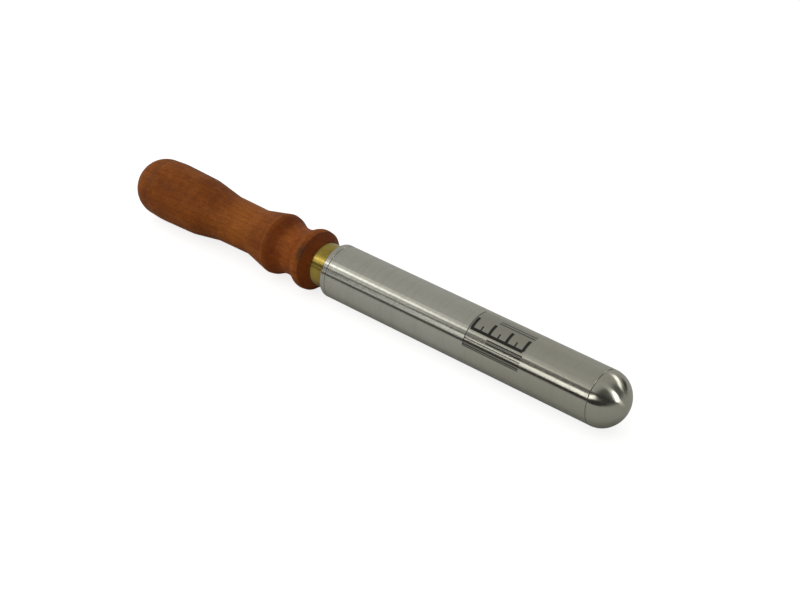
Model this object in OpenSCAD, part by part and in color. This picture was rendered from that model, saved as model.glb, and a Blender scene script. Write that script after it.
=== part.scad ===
// Garden dibber: a turned hardwood handle, a brass ferrule and a stainless steel body.
// The tool lies along X with its domed nose towards +X, and its grip touches Z = 0.
// The body is a tube closed by two turned plugs. A tie rod screwed into the nose plug
// is drawn tight by a nut sunk in the shoulder plug, and its free end runs on into a
// threaded insert in the handle, so the handle screws home against the ferrule.

/* [Steel body] */
// Outside diameter of the body tube
body_d = 28; // [26:1:32]
// Wall thickness of the body tube
body_wall = 1.5; // [1:0.5:2]
// Length of the body tube
tube_l = 160; // [120:5:200]
// Length of the shoulder plug's rim, outside the tube
lip_l = 3.5; // [2.5:0.5:6]
// Rounding of the rim's outer edge
lip_round = 1; // [0.4:0.2:1.6]
// Length of the domed nose beyond the tube
dome_l = 13; // [12.5:0.5:14]
// Rounding between the dome's flank and its cap
dome_round = 12; // [10:0.5:12]
// Depth to which the shoulder plug enters the tube
shoulder_spigot_l = 16; // [14:1:30]
// Depth to which the nose plug enters the tube
nose_spigot_l = 18; // [14:1:30]
// Bevel on the edges that meet at each seam
seam_bevel = 0.15; // [0.1:0.05:0.3]

/* [Ferrule] */
// Outside diameter of the brass ferrule
ferrule_d = 23; // [22:0.5:24]
// Wall thickness of the ferrule
ferrule_wall = 1.5; // [1:0.25:2]
// Length of the ferrule, from the handle to the shoulder plug
ferrule_l = 9; // [6:1:14]

/* [Handle] */
// Length of the handle from the ferrule to the butt
handle_l = 131; // [127:1:150]
// Largest diameter of the grip, near the butt
grip_d = 32; // [32:0.5:36]
// Diameter at the waist
waist_d = 24.8; // [23:0.1:25.5]
// Rounding of the butt
butt_round = 14.5; // [8:0.5:14.5]
// Diameter of the bead next to the ferrule
bead_d = 31.8; // [30:0.2:32]
// Diameter of the ridge between the waist and the cove
collar_d = 31.9; // [30:0.1:32]
// Diameter at the bottom of the cove
cove_d = 25; // [23:0.2:26]

/* [Fastening] */
// Thread diameter of the tie rod
rod_d = 8; // [6:1:8]
// Length of the threaded insert in the handle
insert_l = 20; // [15:1:25]

/* [Hidden] */
$fn = 96;

body_r = body_d / 2;
bore_r = body_r - body_wall;
ferrule_r = ferrule_d / 2;
tenon_r = ferrule_r - ferrule_wall;
tenon_l = ferrule_l - 0.5;
rod_r = rod_d / 2;

// Standard hardware follows from the thread
nut_flats = 1.625 * rod_d;
nut_h = 0.8125 * rod_d;
washer_r = rod_d;
washer_t = 0.2 * rod_d;
insert_r = 0.75 * rod_d;
rod_clear = 0.2;
socket_r = nut_flats / sqrt(3) + 2;
socket_h = washer_t + nut_h + 0.9;
edge_bevel = 0.3;
thread_bevel = 0.6;

// Places along X, with the grip's lowest line on Z = 0
total_l = handle_l + ferrule_l + lip_l + tube_l + dome_l;
axis_z = grip_d / 2;
handle_x = handle_l - total_l / 2;
lip_x = handle_x + ferrule_l;
tube_x = lip_x + lip_l;
nose_x = tube_x + tube_l;
socket_floor_x = lip_x + socket_h;
insert_x = handle_x + tenon_l;
rod_end_x = insert_x - insert_l - 2;
rod_nose_x = nose_x - 2;
rod_l = rod_nose_x - rod_end_x;

// Radius of the cap that closes the dome tangent to its flank rounding
cap_r = (pow(body_r - dome_round, 2) + pow(dome_l, 2) - pow(dome_round, 2))
        / (2 * (dome_l - dome_round));

// Turning profile of the handle, as [distance from the ferrule, radius, rounding]
bead_r = bead_d / 2;
collar_r = collar_d / 2;
cove_r = cove_d / 2;
waist_r = waist_d / 2;
grip_r = grip_d / 2;
handle_profile = [
    [0, ferrule_r, 0],
    [4.6, bead_r - 0.3, 0.5],
    [8.2, bead_r + 0.2, 5.5],
    [17, cove_r - 2, 14],
    [29.1, collar_r + 0.45, 8],
    [46, waist_r - 0.15, 8],
    [68, waist_r + 0.15, 14],
    [86, grip_r - 0.55, 25],
    [106.5, grip_r, 30],
    [110, grip_r, 30],
    [handle_l, grip_r - 1.55, butt_round],
    [handle_l, 0, 0]
];

// Degrees of turn covered by each straight step of a rounding
arc_step = 5;

// Unit vector along v
function unit(v) = v / norm(v);

// Points of the arc of radius r that rounds the corner b between a and c
function rounding(a, b, c, r) =
    let (u = unit([a[0] - b[0], a[1] - b[1]]),
         v = unit([c[0] - b[0], c[1] - b[1]]),
         half = acos(u * v) / 2,
         centre = [b[0], b[1]] + unit(u + v) * r / sin(half),
         start = [b[0], b[1]] + u * r / tan(half) - centre,
         way = u[0] * v[1] - u[1] * v[0] > 0 ? -1 : 1,
         turn = way * (180 - 2 * half),
         steps = max(1, ceil(abs(turn) / arc_step)))
    [for (i = [0 : steps])
        let (angle = turn * i / steps)
        centre + [start[0] * cos(angle) - start[1] * sin(angle),
                  start[0] * sin(angle) + start[1] * cos(angle)]];

// Outline of a profile with each corner rounded as its third number says
function rounded(profile) =
    [for (i = [0 : len(profile) - 1])
        let (corner = profile[i])
        each corner[2] == 0
            ? [[corner[0], corner[1]]]
            : rounding(profile[i - 1], corner, profile[i + 1], corner[2])];

// Children are turned about Z and then laid along X from x, towards the nose
module turned(x) translate([x, 0, axis_z]) rotate([0, 90, 0]) children();

// As turned, but towards the butt
module turned_back(x) translate([x, 0, axis_z]) rotate([0, -90, 0]) children();

// Ring with bevelled edges, bored right through
module ring(outer_r, inner_r, length, bevel)
    rotate_extrude()
        polygon([[inner_r, 0], [outer_r - bevel, 0], [outer_r, bevel],
                 [outer_r, length - bevel], [outer_r - bevel, length],
                 [inner_r, length]]);

// Half outline of the domed nose, from its flat back at height 0
module dome_outline()
    intersection() {
        union() {
            translate([body_r - dome_round, 0]) circle(r = dome_round, $fn = 192);
            intersection() {
                translate([0, dome_l - cap_r]) circle(r = cap_r, $fn = 192);
                // The flank takes over below the line through the two arcs' centres
                polygon([[0, dome_l - cap_r], cap_edge,
                         [cap_edge[0], dome_l + 1], [0, dome_l + 1]]);
            }
        }
        square([body_r, dome_l]);
    }
cap_edge = let (centre = [0, dome_l - cap_r],
                away = unit([body_r - dome_round, -centre[1]]))
           centre + away * cap_r * 1.5;

// Turned hardwood handle with the ferrule tenon and the pocket for the insert
module handle()
    color("sienna")
        difference() {
            turned_back(handle_x)
                rotate_extrude()
                    polygon(concat(
                        [[0, -tenon_l], [tenon_r, -tenon_l], [tenon_r, 0]],
                        [for (p = rounded(handle_profile)) [p[1], p[0]]]));
            turned_back(insert_x + 1) cylinder(r = insert_r, h = insert_l + 1);
            turned_back(insert_x + 1) cylinder(r = rod_r + rod_clear, h = insert_l + 8);
        }

// Brass insert screwed into the handle, which takes the end of the tie rod
module threaded_insert()
    color("darkgoldenrod")
        turned_back(insert_x) ring(insert_r, rod_r, insert_l, edge_bevel);

// Brass ferrule over the tenon, between the handle and the shoulder plug
module ferrule()
    color("gold")
        turned(handle_x) ring(ferrule_r, tenon_r, ferrule_l, edge_bevel);

// Stainless plug in the handle end of the tube, with the socket for the nut
module shoulder_plug()
    color("silver")
        difference() {
            turned(lip_x) {
                rotate_extrude() {
                    translate([body_r - lip_round, lip_round])
                        intersection() {
                            circle(r = lip_round);
                            translate([0, -lip_round]) square(lip_round);
                        }
                    polygon([[0, 0], [body_r - lip_round, 0],
                             [body_r - lip_round, lip_round], [body_r, lip_round],
                             [body_r, lip_l - seam_bevel], [body_r - seam_bevel, lip_l],
                             [0, lip_l]]);
                }
                cylinder(r = bore_r, h = lip_l + shoulder_spigot_l);
            }
            turned(lip_x - 1) cylinder(r = socket_r, h = socket_h + 1);
            turned(lip_x) cylinder(r = rod_r + rod_clear, h = lip_l + shoulder_spigot_l + 1);
        }

// Stainless tube between the two plugs
module body_tube()
    color("lightgray")
        turned(tube_x) ring(body_r, bore_r, tube_l, seam_bevel);

// Stainless nose plug: domed outside, with a blind tapped hole for the tie rod
module nose_plug()
    color("silver")
        difference() {
            union() {
                turned(nose_x)
                    rotate_extrude()
                        difference() {
                            dome_outline();
                            polygon([[body_r - seam_bevel, 0], [body_r + 1, -1],
                                     [body_r + 1, seam_bevel + 1]]);
                        }
                turned(nose_x - nose_spigot_l) cylinder(r = bore_r, h = nose_spigot_l);
            }
            turned(nose_x - nose_spigot_l - 1)
                cylinder(r = rod_r, h = nose_spigot_l + 1 - 1);
        }

// Steel tie rod from the nose plug to the handle
module tie_rod()
    color("dimgray")
        turned(rod_end_x)
            rotate_extrude()
                polygon([[0, 0], [rod_r - thread_bevel, 0], [rod_r, thread_bevel],
                         [rod_r, rod_l - thread_bevel], [rod_r - thread_bevel, rod_l],
                         [0, rod_l]]);

// Plain washer on the floor of the shoulder plug's socket
module washer()
    color("gainsboro")
        turned(socket_floor_x - washer_t)
            ring(washer_r, rod_r + rod_clear, washer_t, 0.1);

// Hexagon nut that draws the two plugs and the tube together
module lock_nut()
    color("darkgray")
        turned(socket_floor_x - washer_t - nut_h)
            difference() {
                intersection() {
                    cylinder(d = nut_flats * 2 / sqrt(3), h = nut_h, $fn = 6);
                    rotate_extrude()
                        polygon([[0, 0], [nut_flats / 2, 0],
                                 [nut_flats / sqrt(3), thread_bevel],
                                 [nut_flats / sqrt(3), nut_h - thread_bevel],
                                 [nut_flats / 2, nut_h], [0, nut_h]]);
                }
                translate([0, 0, -1]) cylinder(r = rod_r, h = nut_h + 2);
            }

handle();
threaded_insert();
ferrule();
shoulder_plug();
body_tube();
nose_plug();
tie_rod();
washer();
lock_nut();
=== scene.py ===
"""Garden dibber: a turned hardwood handle, a brass ferrule and a ground stainless body.

The tool lies along X, nose towards +X. Outlines and patterns are in millimetres.
"""
import math

import bpy
import numpy as np
from mathutils import Matrix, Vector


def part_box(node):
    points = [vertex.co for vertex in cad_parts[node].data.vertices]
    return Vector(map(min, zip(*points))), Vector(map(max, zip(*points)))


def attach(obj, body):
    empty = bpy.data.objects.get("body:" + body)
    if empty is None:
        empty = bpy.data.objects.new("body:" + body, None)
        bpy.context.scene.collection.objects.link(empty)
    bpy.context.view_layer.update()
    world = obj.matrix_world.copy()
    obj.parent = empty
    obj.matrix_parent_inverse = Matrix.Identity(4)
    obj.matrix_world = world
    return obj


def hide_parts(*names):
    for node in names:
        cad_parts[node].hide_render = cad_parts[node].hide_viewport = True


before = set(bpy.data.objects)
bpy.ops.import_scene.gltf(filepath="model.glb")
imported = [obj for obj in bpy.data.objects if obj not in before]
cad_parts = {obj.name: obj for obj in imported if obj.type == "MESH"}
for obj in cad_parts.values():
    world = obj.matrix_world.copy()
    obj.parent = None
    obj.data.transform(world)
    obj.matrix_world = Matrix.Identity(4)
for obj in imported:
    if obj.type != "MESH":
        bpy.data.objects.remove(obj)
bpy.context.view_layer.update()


# ---------------------------------------------------------------------------------------
# Handle: one piece of oiled fruitwood, turned between centres from a straight blank, with
# a tenon for the ferrule and a stepped hole for the threaded insert. The two fine lines
# were cut with the point of the skew chisel, and the sharper one was burnt in.
# ---------------------------------------------------------------------------------------

MM = 0.001
AXIS_Z = (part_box("body_tube")[0].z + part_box("body_tube")[1].z) / 2 / MM
TURN_STEPS = 144      # flats round a turned piece
ARC_STEP = 2.0        # degrees of outline covered by each step of a rounding
CREASE = 28.0         # degrees between faces above which an edge stays crisp
SUPPORT = 0.12        # mm from a corner to the added point that keeps a side's shading flat


class Value:
    """A number or colour that varies over a surface. Arithmetic on it adds Math nodes."""

    def __init__(self, shading, socket):
        self.shading = shading
        self.socket = socket

    def math(self, operation, *others):
        """This value and others put through one Math node."""
        inputs = dict(enumerate((self, *others)))
        return self.shading.node("Math", {"operation": operation}, inputs)

    def __add__(self, other):
        return self.math("ADD", other)

    __radd__ = __add__

    def __sub__(self, other):
        return self.math("SUBTRACT", other)

    def __rsub__(self, other):
        return self.shading.node("Math", {"operation": "SUBTRACT"}, {0: other, 1: self})

    def __mul__(self, other):
        return self.math("MULTIPLY", other)

    __rmul__ = __mul__

    def __truediv__(self, other):
        return self.math("DIVIDE", other)

    def __pow__(self, other):
        return self.math("POWER", other)

    def __abs__(self):
        return self.math("ABSOLUTE")

    def rise(self, low, high):
        """0 below low and 1 above high, with a smooth rise between them.

        Where low is the larger of the two, it falls from 1 to 0 instead.
        """
        settings = {"interpolation_type": "SMOOTHSTEP"}
        inputs = {"Value": self, "From Min": low, "From Max": high}
        return self.shading.node("MapRange", settings, inputs)

    def near(self, place, reach):
        """1 at place, falling smoothly to 0 at reach away from it."""
        return 1 - abs(self - place).rise(0, reach)

    def within(self, low, high, soft):
        """1 between low and high, with edges softened over soft."""
        return self.rise(low - soft / 2, low + soft / 2) * (
            1 - self.rise(high - soft / 2, high + soft / 2))


class Shading:
    """Nodes of one material or of the surroundings, all of them added by node()."""

    def __init__(self, owner):
        owner.use_nodes = True
        self.owner = owner
        self.tree = owner.node_tree

    def node(self, kind, settings, inputs, output=0):
        """Adds a node, sets it up, feeds its sockets and gives one of its outputs."""
        made = self.tree.nodes.new("ShaderNode" + kind)
        for name, setting in settings.items():
            setattr(made, name, setting)
        for name, value in inputs.items():
            self.feed(made.inputs[name], value)
        return Value(self, made.outputs[output])

    def feed(self, socket, value):
        """Links a value to a socket, or sets the socket to a plain number or colour."""
        if isinstance(value, Value):
            self.tree.links.new(value.socket, socket)
        else:
            socket.default_value = value

    def blend(self, factor, first, second):
        """Mix of two colours, all second where the factor is 1."""
        return self.node("Mix", {"data_type": "RGBA"}, {0: factor, 6: first, 7: second}, 2)

    def scaled(self, vector, factors):
        """A vector times three factors, one for each axis."""
        return self.node("VectorMath", {"operation": "MULTIPLY"}, {0: vector, 1: factors})

    def noise(self, vector, detail=2.0, roughness=0.5):
        """Noise from 0 to 1 with features about one unit of the vector across."""
        inputs = {"Vector": vector, "Scale": 1.0, "Detail": detail, "Roughness": roughness}
        return self.node("TexNoise", {}, inputs)


class Finish(Shading):
    """A material, with its surface shader and places measured in mm from the tool's axis."""

    def __init__(self, name):
        super().__init__(bpy.data.materials.new(name))
        self.surface = self.tree.nodes["Principled BSDF"]
        spot = self.node("TexCoord", {}, {}, "Object")
        move = {"Vector": spot, "Location": (0, 0, -AXIS_Z), "Scale": (1 / MM,) * 3}
        self.place = self.node("Mapping", {}, move)
        self.x = self.node("SeparateXYZ", {}, {0: self.place}, "X")
        self.y = self.node("SeparateXYZ", {}, {0: self.place}, "Y")
        self.z = self.node("SeparateXYZ", {}, {0: self.place}, "Z")

    def set(self, **sockets):
        """Feeds sockets of the surface shader, named with _ for a space."""
        for name, value in sockets.items():
            self.feed(self.surface.inputs[name.replace("_", " ")], value)

    def relief(self, height, depth):
        """Bumps of the given height pattern, depth mm deep at height 1."""
        inputs = {"Height": height, "Distance": depth * MM, "Strength": 1.0}
        self.feed(self.surface.inputs["Normal"], self.node("Bump", {}, inputs))


def unit(v):
    """Vector of length 1 along v."""
    return v / np.linalg.norm(v)


def rounded(corners):
    """Outline through corners (x, radius, rounding) as an array of (x, radius).

    Each corner is replaced by the arc that touches both of its sides. A straight side
    gets a point close to each end, so that shading stays flat along it.
    """
    points = np.array([corner[:2] for corner in corners], float)
    outline = [points[0]]
    for before, corner, after, given in zip(points, points[1:], points[2:], corners[1:]):
        radius = given[2]
        if radius == 0:
            outline.append(corner)
            continue
        u = unit(before - corner)
        v = unit(after - corner)
        half = math.acos(np.clip(u @ v, -1, 1)) / 2
        centre = corner + unit(u + v) * radius / math.sin(half)
        start = corner + u * radius / math.tan(half) - centre
        way = -1 if u[0] * v[1] - u[1] * v[0] > 0 else 1
        turn = way * (math.pi - 2 * half)
        steps = max(4, math.ceil(abs(math.degrees(turn)) / ARC_STEP))
        angle = np.linspace(0, turn, steps + 1)
        outline.extend(np.stack([
            centre[0] + start[0] * np.cos(angle) - start[1] * np.sin(angle),
            centre[1] + start[0] * np.sin(angle) + start[1] * np.cos(angle)], -1))
    outline.append(points[-1])
    return supported(np.array(outline))


def supported(outline):
    """Outline with a point added SUPPORT mm inside each end of its longer straight sides."""
    span = np.diff(outline, axis=0)
    length = np.linalg.norm(span, axis=1)
    long_sides = length > 4 * SUPPORT
    step = span[long_sides] * (SUPPORT / length[long_sides])[:, None]
    place = np.flatnonzero(long_sides) + 1
    extra = np.stack([outline[:-1][long_sides] + step, outline[1:][long_sides] - step], 1)
    return np.insert(outline, np.repeat(place, 2), extra.reshape(-1, 2), axis=0)


def added(name, data):
    """A new object in the scene that holds a mesh, a lamp or a camera."""
    made = bpy.data.objects.new(name, data)
    bpy.context.scene.collection.objects.link(made)
    return made


def turned(name, x, radius, finish, node, slot, ring=False):
    """A piece swept round the tool's axis: point (i, j) is at x[i, j], radius[i, j].

    Rows i follow the outline and columns j go round the axis, so a point's y and z are
    its radius times the cosine and the sine of its column's angle. A plain list of x and
    of radius serves every column. A ring's outline closes on itself, and any other one
    starts and ends on the axis, where its rows shrink to one point each. The piece rides
    on the root body and stands for its CAD node.
    """
    if x.ndim == 1:
        x, radius = (np.repeat(part[:, None], TURN_STEPS, axis=1) for part in (x, radius))
    rows, columns = x.shape
    angle = np.linspace(0, 2 * math.pi, columns, endpoint=False)
    points = np.stack([x, radius * np.cos(angle), AXIS_Z + radius * np.sin(angle)], -1)
    corner = np.arange(rows * columns).reshape(rows, columns)
    if ring:
        corner = np.vstack([corner, corner[:1]])
    else:
        corner[0] = corner[0, 0]
        corner[-1] = corner[-1, 0]
    beyond = np.roll(corner, -1, axis=1)
    quads = np.stack([corner[:-1], corner[1:], beyond[1:], beyond[:-1]], -1).reshape(-1, 4)
    points = points.reshape(-1, 3)
    a, b, c, d = (points[quads[:, k]] for k in range(4))
    # Faces point outwards where the volume that they enclose comes out positive
    volume = (np.cross(b - a, c - a) * a).sum() + (np.cross(c - a, d - a) * a).sum()
    if volume < 0:
        quads = quads[:, ::-1]
    used, quads = np.unique(quads, return_inverse=True)
    quads = quads.reshape(-1, 4)
    if ring:
        faces = quads.tolist()
    else:
        # Next to the axis the faces are triangles
        first, middle, last = np.split(quads, [columns, -columns])
        faces = first[:, [0, 1, 2]].tolist() + middle.tolist() + last[:, [0, 1, 3]].tolist()
    mesh = bpy.data.meshes.new(name)
    mesh.from_pydata((points[used] * MM).tolist(), [], faces)
    mesh.shade_smooth()
    mesh.set_sharp_from_angle(angle=math.radians(CREASE))
    mesh.materials.append(finish.owner)
    piece = added(name, mesh)
    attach(piece, "root")
    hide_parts(node)
    return piece


def low_high(node, axis="x"):
    """Where a CAD node starts and ends along an axis, in mm."""
    low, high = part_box(node)
    return getattr(low, axis) / MM, getattr(high, axis) / MM


def outer_r(node):
    """Radius of a CAD node that is turned about the tool's axis, in mm."""
    return np.ptp(low_high(node, "y")) / 2


handle_start_x, tenon_end_x = low_high("handle")
handle_x = low_high("ferrule")[0]
handle_l = handle_x - handle_start_x
ferrule_r = outer_r("ferrule")
grip_r = outer_r("handle")
insert_r = outer_r("threaded_insert")
insert_start_x = low_high("threaded_insert")[0]
ROD_HOLE_R = 4.2
ROD_HOLE_BEYOND_INSERT = 7
TENON_R = 10
TENON_EDGE = 0.4
rod_hole_x = insert_start_x - ROD_HOLE_BEYOND_INSERT

# Distance from the ferrule, radius and rounding of each corner of the turned outline
handle_corners = [
    [0, ferrule_r, 0], [4.6, 15.6, 0.5], [8.2, 16.1, 5.5], [17, 10.5, 14],
    [27.1, 15.55, 5], [29.7, 16.0, 1.1], [46, 12.25, 8], [68, 12.55, 14],
    [86, grip_r - 0.55, 25], [106.5, grip_r, 30], [110, grip_r, 30],
    [handle_l, grip_r - 1.55, 14.5], [handle_l, 0, 0]]
outer = rounded(handle_corners)
outer[:, 0] = handle_x - outer[:, 0]

# Chisel lines: place from the ferrule, half width and depth
BURNT_LINE = 4.25
SCRIBED_LINE = 115.6
LINE_STEPS = 33
chisel_lines = [(BURNT_LINE, 0.4, 0.07), (SCRIBED_LINE, 0.6, 0.07)]
fine = np.concatenate([np.linspace(place - 2 * half, place + 2 * half, LINE_STEPS)
                       for place, half, _ in chisel_lines])
outer = outer[::-1]
along = np.union1d(outer[1:, 0], handle_x - fine)
# Each line is a smooth dip, deepest at its place and all but gone a half width away
cut = sum(depth * np.exp(-((handle_x - along - place) / half) ** 2 * 2)
          for place, half, depth in chisel_lines)
skin = np.stack([along, np.interp(along, outer[1:, 0], outer[1:, 1]) - cut], -1)

handle_outline = np.vstack([
    [[outer[0, 0], 0]],
    skin,
    supported(np.array([
        [handle_x, TENON_R], [tenon_end_x - TENON_EDGE, TENON_R],
        [tenon_end_x, TENON_R - TENON_EDGE], [tenon_end_x, insert_r],
        [insert_start_x, insert_r], [insert_start_x, ROD_HOLE_R],
        [rod_hole_x, ROD_HOLE_R], [rod_hole_x, 0]]))])

wood = Finish("oiled_fruitwood")
DEEP_WOOD = (0.275, 0.063, 0.0066, 1)
WARM_WOOD = (0.385, 0.104, 0.0110, 1)
GOLD_WOOD = (0.56, 0.172, 0.023, 1)
LINE_WOOD = (0.105, 0.024, 0.003, 1)
SHADED_END_WOOD = (0.23, 0.034, 0.0025, 1)
COVE_WOOD = (0.56, 0.142, 0.021, 1)
SMOKE_WOOD = (0.075, 0.055, 0.045, 1)
BARK_WOOD = (0.042, 0.027, 0.02, 1)
drift = wood.noise(wood.scaled(wood.place, (1 / 30, 1 / 14, 1 / 14)), 3.0)
figure = wood.noise(wood.scaled(wood.place, (1 / 24, 1 / 9, 1 / 9)), 4.0, 0.6)
curl = wood.noise(wood.scaled(wood.place, (1 / 4, 1 / 10, 1 / 10)), 3.0, 0.6)
fibre = wood.noise(wood.scaled(wood.place, (1 / 5, 1.7, 1.7)), 3.0, 0.65)
streak = wood.noise(wood.scaled(wood.place, (1 / 6, 0.45, 0.45)), 3.0, 0.6)
speckle = wood.noise(wood.scaled(wood.place, (1.1, 1.4, 1.4)), 2.0, 0.7)
pores = wood.noise(wood.scaled(wood.place, (1 / 1.6, 5, 5)), 1.0).rise(0.63, 0.72)

# Growth layers are shells about the pith, which lay outside the blank
PITH_Y = -38
PITH_Z = -22
LAYER = 2.9
LAYER_DRIFT = 9
pith_distance = ((wood.y - PITH_Y) ** 2 + (wood.z - PITH_Z) ** 2) ** 0.5
layer = ((pith_distance + drift * LAYER_DRIFT) * (2 * math.pi / LAYER)).math("SINE")
late_wood = (layer * 0.5 + 0.5) ** 3

# Places on the handle, by their distance from the ferrule
from_ferrule = handle_x - wood.x
COVE = 18.5
RIDGE = 29.9
WAIST = 52
GRIP_START = 74

# Lighter wood lies along the upper side of the waist, and darker wood below the grip
upward = (wood.z - wood.y * 0.3) / 13 + drift * 0.8
waist_light = from_ferrule.near(WAIST, 17) * upward.rise(0.1, 1.1)
grip_dark = from_ferrule.near(GRIP_START, 17) * (1 - upward.rise(0.3, 1.1))
tone = wood.blend(0.2 + figure.rise(0.34, 0.64) * 0.8, DEEP_WOOD, WARM_WOOD)
tone = wood.blend(waist_light * 0.8, tone, GOLD_WOOD)
tone = wood.blend(curl.rise(0.42, 0.7) * 0.3, tone, GOLD_WOOD)
tone = wood.blend(grip_dark * speckle.rise(0.3, 0.7) * 0.6, tone, LINE_WOOD)

# Short grain shows as streaks where the cove and the bead cut across the fibres
short_grain = from_ferrule.within(6, 25, 9)
tone = wood.blend(short_grain * streak.rise(0.3, 0.7) * 0.6, tone, COVE_WOOD)
tone = wood.blend(from_ferrule.near(COVE, 7) * 0.3, tone, COVE_WOOD)
tone = wood.blend(short_grain * (1 - streak.rise(0.28, 0.5)) * 0.15, tone, LINE_WOOD)
tone = wood.blend(late_wood * 0.16, tone, LINE_WOOD)

# End grain faces the blade on the ridge and on both sides of the bead, and has drunk the oil
# It is also painted shade: the slopes that face the nose, away from the light, and the ridge's
# foot except along its top
ridge_face = from_ferrule.within(22.4, 28.9, 3)
ridge_foot = from_ferrule.within(19.6, 25, 3) * (1 - upward.rise(0.8, 1.35))
bead_face = 1 - from_ferrule.rise(4, 5.2)
bead_back = from_ferrule.near(12.5, 5) * 0.6
end_grain_and_shade = ridge_face.math("MAXIMUM", ridge_foot) + bead_face + bead_back
tone = wood.blend(end_grain_and_shade * 0.5, tone, SHADED_END_WOOD)
# A painted highlight: a thin paler line along the crest of the ridge
painted_ridge_highlight = from_ferrule.near(RIDGE, 0.9)
tone = wood.blend(painted_ridge_highlight * 0.25, tone, GOLD_WOOD)

# Fibres, flecks and pores lie over everything, and the two chisel lines are smoky
tone = wood.blend(fibre.rise(0.42, 0.75) * 0.38, tone, LINE_WOOD)
tone = wood.blend(speckle.rise(0.42, 0.72) * 0.38, tone, LINE_WOOD)
tone = wood.blend(pores * 0.4, tone, SMOKE_WOOD)
burnt = from_ferrule.near(BURNT_LINE, 0.9)
scribed = from_ferrule.near(SCRIBED_LINE, 1.7)
tone = wood.blend(burnt * 0.2 + scribed * 0.28, tone, SMOKE_WOOD)

# A grey smudge of bark grain shows on one side of the bead, as an oval about its middle
smudge = (((from_ferrule - 5.8) / 1.6) ** 2 + ((wood.y + 11.8) / 4.6) ** 2
          + ((wood.z - 10.2) / 4.6) ** 2) ** 0.5
smudge = 1 - (smudge + curl * 0.5).rise(0.6, 1.8)
tone = wood.blend(smudge * 0.6, tone, BARK_WOOD)
wood.set(Base_Color=tone, Roughness=0.46 + fibre * 0.12 + pores * 0.15, IOR=1.45,
         Specular_IOR_Level=0.11)
wood.relief(fibre * 0.6 - pores * 0.9 + speckle * 0.3, 0.035)
turned("turned_handle", *handle_outline.T, wood, "handle", "handle_wood")


# ---------------------------------------------------------------------------------------
# Threaded insert: a brass bush with a coarse thread outside, screwed and glued into the
# handle, and an M8 thread inside that takes the end of the tie rod.
# ---------------------------------------------------------------------------------------

M8_PITCH = 1.25
M8_DEPTH = 0.6
THREAD_FLAT = 1 / 8   # of the pitch


def thread(x, angle, pitch, start, stop, fade=1.0):
    """Depth, from 0 on the crests to 1 at the roots, of a right-hand thread.

    The flanks are straight, the crests and roots are flat for THREAD_FLAT of the pitch,
    and the thread runs out over fade mm at both ends.
    """
    turn = (x / pitch - angle / (2 * math.pi)) % 1
    depth = np.clip((np.abs(turn - 0.5) - THREAD_FLAT / 2) / (0.5 - THREAD_FLAT), 0, 1)
    return depth * np.clip((x - start) / fade, 0, 1) * np.clip((stop - x) / fade, 0, 1)


def threaded_outline(stretches, columns=TURN_STEPS, rows_a_turn=10):
    """Rows of x and radius for an outline whose stretches may carry a thread.

    A stretch is (x and radius at its start, x and radius at its end, pitch, depth). The
    radius is that of the thread's crests, less its depth at the roots, and a pitch of 0
    leaves the stretch plain.
    """
    angle = np.linspace(0, 2 * math.pi, columns, endpoint=False)[None, :]
    xs, radii = [], []
    for (x0, r0), (x1, r1), pitch, depth in stretches:
        turns = abs(x1 - x0) / pitch if pitch else 0
        steps = np.linspace(0, 1, max(2, math.ceil(turns * rows_a_turn) + 1))
        x = (x0 + (x1 - x0) * steps)[:, None]
        radius = (r0 + (r1 - r0) * steps)[:, None] + np.zeros_like(angle)
        if pitch:
            radius = radius - depth * thread(x, angle, pitch, min(x0, x1), max(x0, x1))
        xs.append(x + np.zeros_like(angle))
        radii.append(radius)
    return np.vstack(xs), np.vstack(radii)


insert_x0, insert_x1 = low_high("threaded_insert")
rod_r = outer_r("tie_rod")
EDGE = 0.3            # bevel on the edges of small turned pieces
INSERT_PITCH = 2.5
INSERT_DEPTH = 0.7
RAW_BRASS = (0.60, 0.42, 0.15, 1)
CUT_BRASS = (0.74, 0.56, 0.24, 1)
insert_brass = Finish("insert_brass")
tool_marks = insert_brass.noise(insert_brass.scaled(insert_brass.place, (7, 0.5, 0.5)), 2.0)
insert_brass.set(Base_Color=insert_brass.blend(tool_marks, RAW_BRASS, CUT_BRASS),
                 Metallic=1.0, Roughness=0.24 + tool_marks * 0.16)
insert_brass.relief(tool_marks, 0.01)
insert_outline = threaded_outline([
    ((insert_x0 + EDGE, insert_r), (insert_x1 - EDGE, insert_r), INSERT_PITCH, INSERT_DEPTH),
    ((insert_x1, insert_r - EDGE), (insert_x1, rod_r + EDGE), 0, 0),
    ((insert_x1 - EDGE, rod_r), (insert_x0 + EDGE, rod_r), M8_PITCH, M8_DEPTH),
    ((insert_x0, rod_r + EDGE), (insert_x0, insert_r - EDGE), 0, 0)])
turned("bush_with_threads", *insert_outline, insert_brass, "threaded_insert", "insert_brass",
       ring=True)


# ---------------------------------------------------------------------------------------
# Ferrule: a ring parted off thick brass tube and pressed over the tenon. It was skimmed
# in the lathe, so fine tool marks run round it, and handling has dulled it a little.
# ---------------------------------------------------------------------------------------

def marked_round(finish, strength):
    """Smears reflections along the tool, as marks that run round its axis do."""
    finish.set(Anisotropic=strength, Anisotropic_Rotation=0.25)
    finish.feed(finish.surface.inputs["Tangent"],
                finish.node("Tangent", {"direction_type": "RADIAL", "axis": "X"}, {}))


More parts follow.
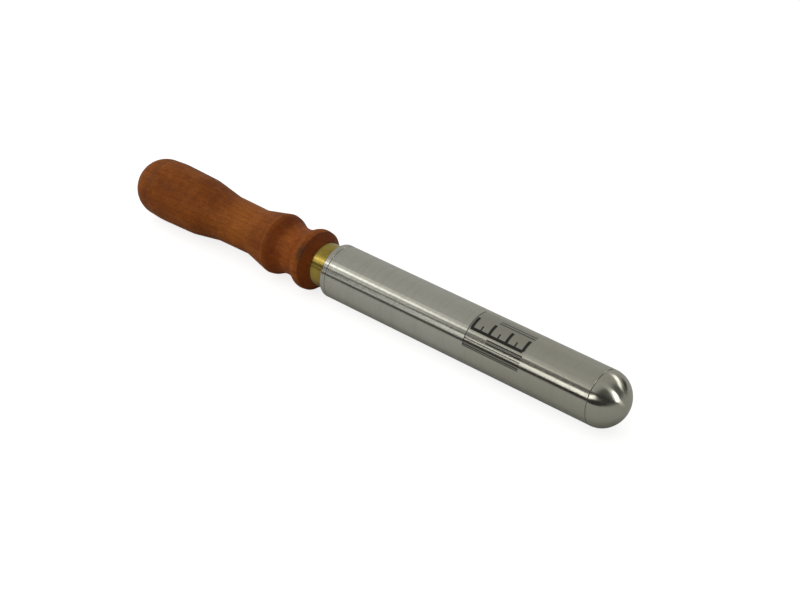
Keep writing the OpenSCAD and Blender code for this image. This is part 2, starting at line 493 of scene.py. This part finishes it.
ferrule_x0, ferrule_x1 = low_high("ferrule")
OLIVE_BRASS = (0.31, 0.22, 0.03, 1)
BRIGHT_BRASS = (0.60, 0.45, 0.11, 1)
HANDLED_BRASS = (0.30, 0.20, 0.025, 1)
BEAD_SHADE_BRASS = (0.10, 0.055, 0.012, 1)
BEAD_SHADE_L = 1.8
brass = Finish("turned_brass")
skim = brass.noise(brass.scaled(brass.place, (4.5, 0.05, 0.05)), 3.0, 0.7)
dull = brass.noise(brass.scaled(brass.place, (1 / 5, 1 / 5, 1 / 5)), 3.0)
brass_tone = brass.blend(skim, OLIVE_BRASS, BRIGHT_BRASS)
brass_tone = brass.blend(dull.rise(0.5, 0.75) * 0.5, brass_tone, HANDLED_BRASS)
# It is painted darker where it meets the wood, as shade under the bead that stands over it
by_the_wood = brass.x.rise(ferrule_x0 + BEAD_SHADE_L, ferrule_x0)
brass_tone = brass.blend(by_the_wood * 0.7, brass_tone, BEAD_SHADE_BRASS)
brass.set(Base_Color=brass_tone, Metallic=1.0, Roughness=0.19 + skim * 0.07)
marked_round(brass, 0.1)
brass.relief(skim, 0.004)
ferrule_outline = supported(np.array([
    [ferrule_x0, TENON_R], [ferrule_x0, ferrule_r - EDGE],
    [ferrule_x0 + EDGE, ferrule_r], [ferrule_x1 - EDGE, ferrule_r],
    [ferrule_x1, ferrule_r - EDGE], [ferrule_x1, TENON_R]]))
turned("ferrule_ring", *ferrule_outline.T, brass, "ferrule", "ferrule_brass", ring=True)


# ---------------------------------------------------------------------------------------
# Nose plug: stainless bar turned to a dome, with a spigot that enters the tube and a
# blind M8 hole. Ground round its axis together with the tube after assembly.
# ---------------------------------------------------------------------------------------

GROUND_STEEL = (0.53, 0.52, 0.45, 1)
LIGHT_STEEL = (0.61, 0.60, 0.525, 1)
BAND_STEEL = (0.48, 0.47, 0.41, 1)
GREASY_STEEL = (0.46, 0.44, 0.37, 1)
STAINED_STEEL = (0.42, 0.405, 0.32, 1)
SEAM_GRIME = (0.10, 0.095, 0.085, 1)
SEAM_REACH = 0.33
STAIN_START = 113     # from the tip of the nose
STAIN_FULL = 43


def ground_stainless(name, roughness):
    """Stainless ground round the tool's axis with a fine belt.

    The grinding lines run round the piece, so reflections smear along it and stay crisp
    across it. Broader bands come from uneven belt pressure, and the grease of hands and
    small specks of dirt lie over them. The roughness given is that of clean steel. The
    finish keeps its tone and roughness, for marks that are made on it later.
    """
    steel = Finish(name)
    lines = steel.noise(steel.scaled(steel.place, (9, 0.08, 0.08)), 3.0, 0.75)
    bands = steel.noise(steel.scaled(steel.place, (0.7, 0.03, 0.03)), 3.0, 0.6)
    grease = steel.noise(steel.scaled(steel.place, (1 / 18, 1 / 11, 1 / 11)), 4.0, 0.6)
    specks = steel.noise(steel.scaled(steel.place, (0.6, 0.8, 0.8)), 3.0, 0.6).rise(0.5, 0.7)
    tone = steel.blend(lines, GROUND_STEEL, LIGHT_STEEL)
    tone = steel.blend(bands.rise(0.45, 0.7) * 0.42, tone, BAND_STEEL)
    tone = steel.blend(grease.rise(0.5, 0.8) * 0.36, tone, GREASY_STEEL)
    tone = steel.blend(specks * 0.26, tone, GREASY_STEEL)
    # The end that goes into the ground is a little stained
    tip_x = low_high("nose_plug")[1]
    stain = steel.x.rise(tip_x - STAIN_START, tip_x - STAIN_FULL)
    tone = steel.blend(stain * 0.5, tone, STAINED_STEEL)
    # Grime has settled in the two seams
    first_seam, last_seam = (steel.x.near(place, SEAM_REACH) for place in low_high("body_tube"))
    steel.tone = steel.blend(first_seam * 0.55 + last_seam * 0.5, tone, SEAM_GRIME)
    worn = bands * 0.03 + grease * 0.05 + specks * 0.05
    steel.roughness = roughness + worn + (first_seam + last_seam) * 0.3
    steel.set(Base_Color=steel.tone, Metallic=1.0, Roughness=steel.roughness)
    marked_round(steel, 1.0)
    steel.relief(lines, 0.0015)
    return steel


nose_x0, nose_x1 = low_high("nose_plug")
seam_x = low_high("body_tube")[1]
body_r = outer_r("body_tube")
TUBE_WALL = 1.5
DOME_ROUND = 12
SEAM_BEVEL = 0.22
SPIGOT_BEVEL = 0.5
HOLE_SHORT = 1        # the blind hole ends this far short of the seam
bore_r = body_r - TUBE_WALL
dome_l = nose_x1 - seam_x

# The dome's flank is an arc that leaves the cylinder smoothly, and its cap is a larger
# arc that touches the flank and crosses the axis square.
cap_r = (((body_r - DOME_ROUND) ** 2 + dome_l ** 2 - DOME_ROUND ** 2)
         / (2 * (dome_l - DOME_ROUND)))
cap_x = dome_l - cap_r
touch = math.atan2(body_r - DOME_ROUND, -cap_x)
flank = np.radians(np.arange(0, 90 - math.degrees(touch), 1.5))
cap = np.linspace(touch, 0, 40)
dome = np.vstack([
    np.stack([DOME_ROUND * np.sin(flank), body_r - DOME_ROUND + DOME_ROUND * np.cos(flank)], -1),
    np.stack([cap_x + cap_r * np.cos(cap), cap_r * np.sin(cap)], -1)])
dome[:, 0] += seam_x
# A bevel at the seam takes the place of the dome's first points
dome = dome[dome[:, 0] > seam_x + SEAM_BEVEL]
dome[-1] = [nose_x1, 0]
# The outline starts at the blind end of the hole, and runs out along its thread, over
# the spigot and up the face that stops the tube, and then over the dome.
dome_x, dome_radius = (np.repeat(part[:, None], TURN_STEPS, axis=1) for part in dome.T)
hole_end_x = np.full((1, TURN_STEPS), seam_x - HOLE_SHORT)
hole_x, hole_radius = threaded_outline([
    ((nose_x0, rod_r), (seam_x - HOLE_SHORT, rod_r), M8_PITCH, M8_DEPTH)])
spigot_x, spigot_radius = threaded_outline([
    ((nose_x0, rod_r + EDGE), (nose_x0, bore_r - SPIGOT_BEVEL), 0, 0),
    ((nose_x0 + SPIGOT_BEVEL, bore_r), (seam_x - SUPPORT, bore_r), 0, 0),
    ((seam_x, bore_r), (seam_x, body_r - SEAM_BEVEL), 0, 0)])
nose_x = np.vstack([hole_end_x, hole_x[::-1], spigot_x, dome_x])
nose_radius = np.vstack([hole_end_x * 0, hole_radius[::-1], spigot_radius, dome_radius])
nose_steel = ground_stainless("ground_nose", 0.13)
turned("domed_nose", nose_x, nose_radius, nose_steel, "nose_plug", "ground_stainless")


# ---------------------------------------------------------------------------------------
# Tie rod: zinc plated M8 studding. One end is screwed hard into the nose plug, the other
# passes through the shoulder plug and its nut into the handle.
# ---------------------------------------------------------------------------------------

ZINC = (0.52, 0.54, 0.56, 1)
LIGHT_ZINC = (0.72, 0.73, 0.74, 1)
zinc = Finish("zinc_plate")
bloom = zinc.noise(zinc.scaled(zinc.place, (1 / 2, 1 / 2, 1 / 2)), 4.0, 0.6)
zinc.set(Base_Color=zinc.blend(bloom, ZINC, LIGHT_ZINC), Metallic=1.0,
         Roughness=0.22 + bloom * 0.2)
zinc.relief(bloom, 0.008)
rod_x0, rod_x1 = low_high("tie_rod")
ROD_TIP = 0.6
rod_outline = threaded_outline([
    ((rod_x0, 0), (rod_x0, rod_r - ROD_TIP), 0, 0),
    ((rod_x0 + ROD_TIP, rod_r), (rod_x1 - ROD_TIP, rod_r), M8_PITCH, M8_DEPTH),
    ((rod_x1, rod_r - ROD_TIP), (rod_x1, 0), 0, 0)], columns=84, rows_a_turn=6)
turned("threaded_rod", *rod_outline, zinc, "tie_rod", "zinc_steel")


# ---------------------------------------------------------------------------------------
# Body tube: stainless tube, 28 mm across, cut square and bevelled a little at both ends.
# A graduated panel for planting depth is marked on it by laser.
# ---------------------------------------------------------------------------------------

tube_x0, tube_x1 = low_high("body_tube")
tube_steel = ground_stainless("ground_tube", 0.12)

# The panel is placed along the tube from the handle's end and round it in degrees, and
# its height is measured round the tube
PANEL_START = 88
PANEL_TURN = 121
PANEL_L = 33
PANEL_H = 22.4
BORDER = 0.5
SCALE_START = 1.7
HATCH_PITCH = 1.55
HATCH_START = 12
TICK = 5
ETCHED = (0.34, 0.325, 0.27, 1)
MARKED = (0.016, 0.015, 0.012, 1)
panel_up = tube_steel.node("VectorRotate", {"rotation_type": "X_AXIS"}, {
    "Vector": tube_steel.place, "Angle": -math.radians(PANEL_TURN)})
panel_y = tube_steel.node("SeparateXYZ", {}, {0: panel_up}, "Y")
panel_z = tube_steel.node("SeparateXYZ", {}, {0: panel_up}, "Z")
around_mm = panel_z.math("ARCTAN2", panel_y) * body_r
along_mm = tube_steel.x - (tube_x0 + PANEL_START)
inside = along_mm.within(0, PANEL_L, 0.2) * around_mm.within(-PANEL_H / 2, PANEL_H / 2, 0.2)
# A fine border runs along its lower side and its end towards the handle
border = inside - inside * along_mm.within(BORDER, PANEL_L + 1, 0.1) * around_mm.within(
    -PANEL_H, PANEL_H / 2 - BORDER, 0.1)
# Fine engraved lines lie in bands above and below the scale
hatch = abs((around_mm / HATCH_PITCH).math("FRACT") - 0.5).rise(0.25, 0.16)
short_bands = around_mm.within(3.1, 5.8, 0.1) + around_mm.within(-9.3, -6.2, 0.1)
hatched = (around_mm.within(6.9, PANEL_H / 2, 0.1)
           + short_bands * along_mm.within(HATCH_START, PANEL_L, 0.1))


def to_tick(spacing):
    """Distance along the tube to the nearest tick of a scale with the given spacing."""
    return abs(((along_mm - SCALE_START) / spacing + 0.5).math("FRACT") - 0.5) * spacing


short_ticks = to_tick(TICK).rise(0.5, 0.35) * around_mm.within(-1.5, 1.4, 0.15)
long_ticks = to_tick(2 * TICK).rise(0.9, 0.75) * around_mm.within(-5.0, 1.4, 0.15)
base_bar = around_mm.within(0.9, 2.4, 0.15) * along_mm.within(1.0, PANEL_L - 1.2, 0.15)
scale = short_ticks.math("MAXIMUM", long_ticks).math("MAXIMUM", base_bar)
mark = (border * 0.9 + hatch * hatched * 0.95).math("MAXIMUM", scale) * inside
panel_tone = tube_steel.blend(inside * 0.5, tube_steel.tone, ETCHED)
tube_steel.set(Base_Color=tube_steel.blend(mark, panel_tone, MARKED),
               Metallic=1 - mark * 0.95, Roughness=tube_steel.roughness + mark * 0.25)
tube_outline = supported(np.array([
    [tube_x0, bore_r], [tube_x0, body_r - SEAM_BEVEL], [tube_x0 + SEAM_BEVEL, body_r],
    [tube_x1 - SEAM_BEVEL, body_r], [tube_x1, body_r - SEAM_BEVEL], [tube_x1, bore_r]]))
turned("ground_tube", *tube_outline.T, tube_steel, "body_tube", "ground_stainless", ring=True)


# ---------------------------------------------------------------------------------------
# Shoulder plug: stainless plug in the handle end of the tube. Its rim is as wide as the
# tube, and a socket in its face holds the washer and the nut.
# ---------------------------------------------------------------------------------------

shoulder_x0, shoulder_x1 = low_high("shoulder_plug")
LIP_ROUND = 1.0
SOCKET_R = 9.5
socket_x = low_high("washer")[1]
shoulder_steel = ground_stainless("ground_shoulder", 0.12)
shoulder_outline = rounded([
    [shoulder_x0, SOCKET_R + EDGE, 0], [shoulder_x0, body_r, LIP_ROUND],
    [tube_x0 - SEAM_BEVEL, body_r, 0], [tube_x0, body_r - SEAM_BEVEL, 0],
    [tube_x0, bore_r, 0], [shoulder_x1 - SPIGOT_BEVEL, bore_r, 0],
    [shoulder_x1, bore_r - SPIGOT_BEVEL, 0], [shoulder_x1, ROD_HOLE_R, 0],
    [socket_x, ROD_HOLE_R, 0], [socket_x, SOCKET_R, 0], [shoulder_x0 + EDGE, SOCKET_R, 0]])
turned("shoulder_turning", *shoulder_outline.T, shoulder_steel,
       "shoulder_plug", "ground_stainless", ring=True)


# ---------------------------------------------------------------------------------------
# Washer and nut: plain M8 hardware on the floor of the socket. Drawn tight, the nut
# clamps the tube between its two plugs.
# ---------------------------------------------------------------------------------------

washer_x0, washer_x1 = low_high("washer")
washer_r = outer_r("washer")
WASHER_ROUND = 0.2
washer_outline = rounded([
    [washer_x0, ROD_HOLE_R, 0], [washer_x0, washer_r, WASHER_ROUND],
    [washer_x1, washer_r, WASHER_ROUND], [washer_x1, ROD_HOLE_R, 0]])
turned("plain_washer", *washer_outline.T, zinc, "washer", "zinc_steel", ring=True)

nut_x0, nut_x1 = low_high("lock_nut")
NUT_FLATS = 13
NUT_FACE_R = 6.4
CHAMFER_SLOPE = 0.58
CHAMFER_STEPS = 9
# The hexagon's radius is half the flats over the cosine of the angle from the nearest
# flat, and the chamfer is a cone that starts as a circle just inside the flats.
around = np.linspace(0, 2 * math.pi, TURN_STEPS, endpoint=False)[None, :]
flat_angle = (around + math.pi / 6) % (math.pi / 3) - math.pi / 6
hexagon = NUT_FLATS / 2 / np.cos(flat_angle)
inwards = np.linspace(0, 1, CHAMFER_STEPS)
from_face = np.concatenate([inwards, inwards[::-1]])[:, None]
nut_x = np.concatenate([nut_x0 + inwards, nut_x1 - inwards[::-1]])[:, None]
nut_radius = np.minimum(hexagon, NUT_FACE_R + from_face / CHAMFER_SLOPE)
bore_x, bore_radius = threaded_outline([
    ((nut_x1, rod_r), (nut_x0, rod_r), M8_PITCH, M8_DEPTH)])
turned("hex_nut", np.vstack([nut_x + np.zeros_like(around), bore_x]),
       np.vstack([nut_radius, bore_radius]), zinc, "lock_nut", "zinc_steel", ring=True)


# ---------------------------------------------------------------------------------------
# Studio: a pale table, soft surroundings, and lamps. The tool is seen from its nose end,
# from above.
# ---------------------------------------------------------------------------------------

FLOOR_HALF = 12
floor_mesh = bpy.data.meshes.new("floor")
floor_mesh.from_pydata([(-FLOOR_HALF, -FLOOR_HALF, 0), (FLOOR_HALF, -FLOOR_HALF, 0),
                        (FLOOR_HALF, FLOOR_HALF, 0), (-FLOOR_HALF, FLOOR_HALF, 0)],
                       [], [(0, 1, 2, 3)])
floor = added("floor", floor_mesh)
BLACK = (0, 0, 0, 1)
WHITE = (1, 1, 1, 1)
TABLE = (0.6, 0.6, 0.59, 1)
CONTACT_HALF = 146
floor_paint = Finish("pale_table")
looked_at = floor_paint.node("LightPath", {}, {}, "Is Camera Ray")
mirrored = floor_paint.node("LightPath", {}, {}, "Is Glossy Ray")
# A painted shadow: the table's glow in reflections is weakest right under the tool
past_end = (abs(floor_paint.x) - CONTACT_HALF).math("MAXIMUM", 0)
painted_contact_shadow = 1 - ((past_end ** 2 + floor_paint.y ** 2) ** 0.5).rise(9, 22)
glow = looked_at * 0.8 + mirrored * (0.11 - painted_contact_shadow * 0.09)
floor_paint.set(Base_Color=TABLE, Roughness=0.9, Emission_Strength=1.0,
                Emission_Color=floor_paint.blend(glow, BLACK, WHITE))
floor_mesh.materials.append(floor_paint.owner)

world = bpy.data.worlds.new("studio")
bpy.context.scene.world = world
studio = Shading(world)
WARM_WHITE = (1, 1, 0.98, 1)
direction = studio.node("TexCoord", {}, {}, "Generated")
wx = studio.node("SeparateXYZ", {}, {0: direction}, "X")
wy = studio.node("SeparateXYZ", {}, {0: direction}, "Y")
wz = studio.node("SeparateXYZ", {}, {0: direction}, "Z")
# Degrees round the tool from the floor behind it, over the top, to the floor in front
over = wz.math("ARCTAN2", wy) * (180 / math.pi)
# The room is pale, with dark gaps low in front, beyond the nose and in two places behind
front_gap = over.within(137, 180, 4)
right_gap = over.within(100, 180, 12) * (wx - (137 - over) * 0.01).rise(-0.2, 0.1)
far_gap = over.within(12, 75, 14) * wx.rise(0.35, 0.6)
back_gap = over.within(-12, 18, 8) * wx.within(0.1, 0.7, 0.2)
dark = front_gap.math("MAXIMUM", right_gap).math("MAXIMUM", far_gap * 0.8)
dark = dark.math("MAXIMUM", back_gap)
shade = 0.46 + over.within(95, 138, 40) * 0.04 - dark * 0.42
# What is dull is lit mostly from the handle's end of the room
for_dull = studio.node("LightPath", {}, {}, "Is Diffuse Ray")
even = (0.40 + wz * 0.16 - wx * 0.46 - wy * 0.08).math("MAXIMUM", 0.04)
shade = shade + for_dull * (even - shade)
seen = studio.node("LightPath", {}, {}, "Is Camera Ray")
background = studio.tree.nodes["Background"]
studio.feed(background.inputs["Color"], studio.blend(seen, WARM_WHITE, WHITE))
studio.feed(background.inputs["Strength"], shade + seen * (1 - shade))


def lamp(name, over_angle, distance, x, length, width, radiance, slant=0, lights_dull=True):
    """A strip lamp beside the tool, parallel to it and facing its axis.

    over_angle is the angle round the tool from behind it, over the top, and slant turns
    the strip in its own plane. The lamp's power is its radiance times pi times its area.
    With lights_dull off, only what is shiny shows it.
    """
    light = bpy.data.lights.new(name, "AREA")
    light.shape = "RECTANGLE"
    light.size = length
    light.size_y = width
    light.energy = radiance * math.pi * length * width
    strip = added(name, light)
    angle = math.radians(over_angle)
    strip.location = (x, distance * math.cos(angle), distance * math.sin(angle))
    aimed = Matrix.Rotation(angle - math.pi / 2, 4, "X")
    strip.rotation_euler = (aimed @ Matrix.Rotation(math.radians(slant), 4, "Z")).to_euler()
    strip.visible_camera = False
    strip.visible_diffuse = lights_dull
    return strip


lamp("key_lamp", 133.9, 0.9, -0.965, 0.89, 0.13, 2.1, slant=9)
lamp("key_spill", 121, 0.95, -0.92, 0.9, 0.20, 0.40)
lamp("key_edge", 143.8, 0.9, -0.665, 0.31, 0.13, 1.05, slant=35)
lamp("ferrule_lamp", 142.6, 0.93, -0.85, 0.20, 0.18, 1.3, lights_dull=False)
lamp("window_lamp", 154.6, 0.9, -0.115, 0.61, 0.22, 2.4, slant=18, lights_dull=False)
lamp("far_window", 169, 0.92, -0.85, 0.80, 0.14, 0.40, slant=8)
lamp("back_lamp", 38, 0.9, 0.50, 0.8, 0.22, 1.9, lights_dull=False)
# The last one stands beyond the nose, and shows on the dome
side_lamp = lamp("side_lamp", 90, 0.9, 0, 0.58, 0.18, 5.0, lights_dull=False)
side_lamp.location = (0.995, 0.10, 0.345)
side_lamp.rotation_euler = (0, math.radians(66), math.radians(6))

AZIMUTH = math.radians(41.564)
ELEVATION = math.radians(32.803)
DISTANCE = 0.9454
AIM_BEYOND_TUBE_START = 37.54
LENS = 87.653
camera_data = bpy.data.cameras.new("camera")
camera_data.lens = LENS
camera_data.clip_end = 50
camera = added("camera", camera_data)
# Direction from the spot aimed at back to the camera
back = np.array([math.sin(AZIMUTH) * math.cos(ELEVATION),
                 -math.cos(AZIMUTH) * math.cos(ELEVATION), math.sin(ELEVATION)])
aim = np.array([tube_x0 + AIM_BEYOND_TUBE_START, 0, AXIS_Z]) * MM
camera.location = aim + back * DISTANCE
camera.rotation_euler = (math.pi / 2 - ELEVATION, 0, AZIMUTH)
bpy.context.scene.camera = camera
bpy.context.scene.view_settings.view_transform = "Standard"
